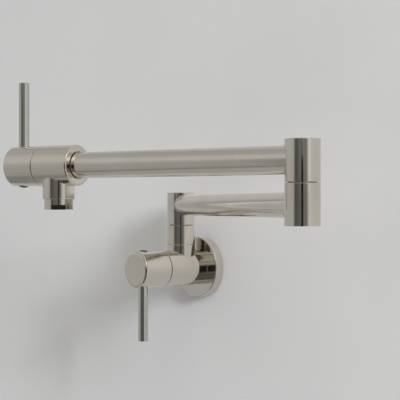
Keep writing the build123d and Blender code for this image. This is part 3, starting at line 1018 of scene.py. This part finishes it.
def lightRoom():
    look = roomLook
    world = bpy.data.worlds.new("room")
    bpy.context.scene.world = world
    graph = Graph(world)
    way = graph.add("ShaderNodeTexCoord", output="Generated")
    along, across, height = graph.split(way)
    bright = roundRoom(graph, along, across, "level")
    for name, goal in (
        ("raised", roundRoom(graph, along, across, "raised")),
        ("upper", look["upper"]),
        ("ceiling", look["ceiling"]),
    ):
        share = graph.between(height, look[name + "From"], look[name + "To"])
        bright = bright + share * (goal - bright)
    lost = graph.between(height, look["belowFrom"], look["belowTo"]) * look["below"]
    bright = bright * (1 - lost)
    towards = graph.add(
        "ShaderNodeVectorMath", {"operation": "DOT_PRODUCT"}, {0: way, 1: look["glowAt"]}, output=1
    )
    glowFrom, glowTo = [math.cos(math.radians(look[name])) for name in ("glowFrom", "glowTo")]
    bright = bright + graph.between(towards, glowFrom, glowTo) * look["glow"]
    seen = graph.add("ShaderNodeLightPath", output="Is Camera Ray")
    colour = graph.blend(seen, graph.grey(bright), look["seen"])
    light = graph.add("ShaderNodeBackground", values={"Color": colour, "Strength": 1.0})
    graph.add("ShaderNodeOutputWorld", values={"Surface": light})


lightRoom()

# wall and floor

stageSizes = {
    "wallGap": 0.2 * mm,
    "pipeHole": 29.0 * mm,  # where the supply pipe comes through, behind the flange
    "holeSteps": 96,
    "wallReach": 5.0,
    "floorAt": -1.45,
    "floorReach": 6.0,
}
wallLook = {
    "colour": (0.585, 0.585, 0.585, 1),
    "shade": (0.56, 0.56, 0.56, 1),
    "roughness": 0.7,
    "cloudScale": 3.0,
    "cloudRange": (0.35, 0.65),
    "cloudRoughness": 0.1,
    "rollerScale": 420.0,
    "rollerDepth": 0.06 * mm,
    "paintedSheen": 0.3,                   # painted reflection: for the nickel's reflections the wall beside the valve is painted brighter, rising with height
    "paintedSheenHeights": (-0.06, 0.06),
    "paintedSheenTop": (0.08, 0.115),
    "paintedSheenAt": 0.06,
    "paintedSheenReach": (0.08, 0.2),
    "farSide": (-0.45, -1.1),       # painted shade: further to the left the wall's colour is darker
    "paintedFarShade": (0.49, 0.49, 0.49, 1),
}


def paintedWall():
    look = wallLook
    material, graph = newGraph("paintedWall")
    cloud = graph.between(graph.pattern(look["cloudScale"], detail=4.0), *look["cloudRange"])
    roller = graph.pattern(look["rollerScale"])
    along, _, height = graph.split(graph.add("ShaderNodeTexCoord", output="Object"))
    # painted sheen: for reflections only, the wall near the valve is painted brighter, rising with height, then
    # fading above and to the sides
    away = graph.math("ABSOLUTE", along - look["paintedSheenAt"])
    rising = graph.between(height, *look["paintedSheenHeights"])
    falling = graph.between(height, *look["paintedSheenTop"], 1, 0)
    near = graph.between(away, *look["paintedSheenReach"], 1, 0)
    mirrored = graph.add("ShaderNodeLightPath", output="Is Glossy Ray")
    paintedSheen = rising * falling * near * mirrored * look["paintedSheen"]
    plain = graph.blend(cloud, look["colour"], look["shade"])
    # painted shade: the wall's colour darkens further to the left
    plain = graph.blend(graph.between(along, *look["farSide"]), plain, look["paintedFarShade"])
    paint = graph.surface(
        colour=graph.blend(paintedSheen, plain, (1, 1, 1, 1)),
        roughness=cloud * look["cloudRoughness"] + look["roughness"],
        normal=graph.bump(roller, look["rollerDepth"]),
    )
    # seen from behind, the wall is clear, so that the back can be looked at
    behind = graph.add("ShaderNodeNewGeometry", output="Backfacing")
    clear = graph.add("ShaderNodeBsdfTransparent")
    both = graph.add("ShaderNodeMixShader", values={0: behind, 1: paint, 2: clear})
    graph.show(both)
    return material


# For reflections alone the floor's colour is painted with the room's brightness: a painted reflection
# that goes on from the room above it, with a painted dark ring round the object at the edge of the worktop.
floorLook = {
    "colour": (0.62, 0.61, 0.58, 1),
    "shade": (0.56, 0.55, 0.52, 1),
    "cloudScale": 2.0,
    "cloudRoughness": 0.1,
    "roughness": 0.6,
    "paintedReflectionShare": 0.79,      # share of the room's brightness that is painted into the floor for reflections
    "shift": (-0.10, 0.17, 0),
    "paintedRingInside": (1.30, 1.48),
    "paintedRingOutside": (1.6, 2.4),
    "ring": 0.34,           # share that the painted dark ring takes
    "farFrom": 2.6,
    "farTo": 5.0,
    "paintedFarLift": 0.2,             # share of painted brightening that is added far off
}


def paleFloor():
    look = floorLook
    material, graph = newGraph("paleFloor")
    cloud = graph.pattern(look["cloudScale"], detail=4.0)
    tile = graph.blend(cloud, look["colour"], look["shade"])
    spot = graph.add("ShaderNodeTexCoord", output="Object")
    placed = graph.add("ShaderNodeMapping", values={"Vector": spot, "Location": look["shift"]})
    along, across, _ = graph.split(placed)
    away = graph.math("SQRT", along * along + across * across)
    begun = graph.between(away, *look["paintedRingInside"])
    ring = begun * (1 - graph.between(away, *look["paintedRingOutside"]))
    paintedFarLift = graph.between(away, look["farFrom"], look["farTo"]) * look["paintedFarLift"]
    share = (1 + paintedFarLift - ring * look["ring"]) * look["paintedReflectionShare"]
    # painted reflection: the room's brightness by direction, dimmed in the ring, becomes the floor's colour for
    # reflections only
    bright = roundRoom(graph, along, across, "level") * share
    mirrored = graph.add("ShaderNodeLightPath", output="Is Glossy Ray")
    paint = graph.surface(
        colour=graph.blend(mirrored, tile, graph.grey(bright)),
        roughness=cloud * look["cloudRoughness"] + look["roughness"],
    )
    graph.show(paint)
    return material


def addStage(name, mesh, finish):
    thing = addObject(name, mesh)
    thing.data.materials.append(finish)
    return thing


def wallMesh():
    # flat ring that faces the room
    sizes = stageSizes
    sheet = bmesh.new()
    hole = bmesh.ops.create_circle(sheet, segments=sizes["holeSteps"], radius=sizes["pipeHole"])
    grown = bmesh.ops.extrude_edge_only(sheet, edges=edgesAt(hole["verts"]))["geom"]
    outer = [part for part in grown if isinstance(part, bmesh.types.BMVert)]
    growth = sizes["wallReach"] / sizes["pipeHole"]
    bmesh.ops.scale(sheet, vec=(growth, growth, 1), verts=outer)
    stand = Matrix.Translation((0, sizes["wallGap"], 0)) @ Matrix.Rotation(math.pi / 2, 4, "X")
    bmesh.ops.transform(sheet, matrix=stand, verts=sheet.verts[:])
    for face in sheet.faces:
        face.normal_update()
        if face.normal.y > 0:
            face.normal_flip()
    return meshFrom("wall", sheet)


def floorMesh():
    sheet = bmesh.new()
    bmesh.ops.create_grid(
        sheet, x_segments=1, y_segments=1, size=stageSizes["floorReach"],
        matrix=Matrix.Translation((0, 0, stageSizes["floorAt"])),
    )
    return meshFrom("floor", sheet)


addStage("wall", wallMesh(), paintedWall())
addStage("floor", floorMesh(), paleFloor())

# lamps, which the nickel doesn't mirror: it mirrors the room

lamps = {
    "windowLamp": {
        "azimuth": -16.0, "elevation": 17.0, "distance": 20.0, "width": 2.0, "height": 5.0,
        "power": 5350.0, "colour": (0.94, 0.945, 1.0),
    },
    "fillLamp": {
        "azimuth": -28.0, "elevation": 47.0, "distance": 3.5, "width": 3.0, "height": 3.0,
        "power": 63.0, "colour": (1.0, 0.98, 0.87),
    },
}


def addLamp(name, look):
    azimuth = math.radians(look["azimuth"])
    elevation = math.radians(look["elevation"])
    way = Vector((
        math.cos(elevation) * math.cos(azimuth),
        math.cos(elevation) * math.sin(azimuth),
        math.sin(elevation),
    ))
    light = bpy.data.lights.new(name, "AREA")
    light.shape = "RECTANGLE"
    light.size = look["width"]
    light.size_y = look["height"]
    light.energy = look["power"]
    light.color = look["colour"]
    lamp = addObject(name, light)
    lamp.location = way * look["distance"]
    lamp.rotation_euler = way.to_track_quat("Z", "Y").to_euler()
    lamp.visible_glossy = False
    lamp.visible_camera = False


for name, look in lamps.items():
    addLamp(name, look)
print("stage and light made")

# camera, solved from the photograph

cameraLook = {
    "place": (0.84061, -0.74889, 0.06521),
    "yaw": 48.51,           # to the left of straight at the wall
    "lens": 96.85,
    "sensor": 36.0,
    "shiftX": 0.0028,
    "shiftY": 0.01025,
}

camera = addObject("camera", bpy.data.cameras.new("camera"))
camera.data.lens = cameraLook["lens"]
camera.data.sensor_width = cameraLook["sensor"]
camera.data.shift_x = cameraLook["shiftX"]
camera.data.shift_y = cameraLook["shiftY"]
camera.location = cameraLook["place"]
camera.rotation_euler = (math.pi / 2, 0, math.radians(cameraLook["yaw"]))
bpy.context.scene.camera = camera

# dark card behind the camera, which only the metal sees: a painted dark reflection

cardLook = {
    "colour": (0.02, 0.02, 0.02, 1),
    "roughness": 0.9,
    "grainScale": 200.0,
    "grainRoughness": 0.1,
    "width": 0.2,
    "top": 0.14,
    "behind": 0.03,
    "aside": 0.015,
}


def blackPaint():
    look = cardLook
    material, graph = newGraph("blackPaint")
    grain = graph.pattern(look["grainScale"])
    paint = graph.surface(
        colour=look["colour"],
        roughness=grain * look["grainRoughness"] + look["roughness"],
    )
    graph.show(paint)
    return material


def cardMesh():
    # a metre's square, stretched to stand on the floor, where the metal reflects it as a dark line
    look = cardLook
    low = stageSizes["floorAt"]
    stretch = Matrix.Diagonal((look["width"], look["top"] - low, 1, 1))
    turn = Matrix.Rotation(camera.rotation_euler.z, 4, "Z") @ Matrix.Rotation(math.pi / 2, 4, "X")
    back = turn @ Vector((-look["aside"], 0, look["behind"]))
    middle = Vector((camera.location.x, camera.location.y, (look["top"] + low) / 2)) + back
    sheet = bmesh.new()
    bmesh.ops.create_grid(
        sheet, x_segments=1, y_segments=1, size=0.5,
        matrix=Matrix.Translation(middle) @ turn @ stretch,
    )
    return meshFrom("card", sheet)


card = addStage("card", cardMesh(), blackPaint())
card.visible_camera = False
card.visible_diffuse = False
card.visible_shadow = False
print("camera and card placed")

# picture

bpy.context.scene.view_settings.view_transform = "Standard"
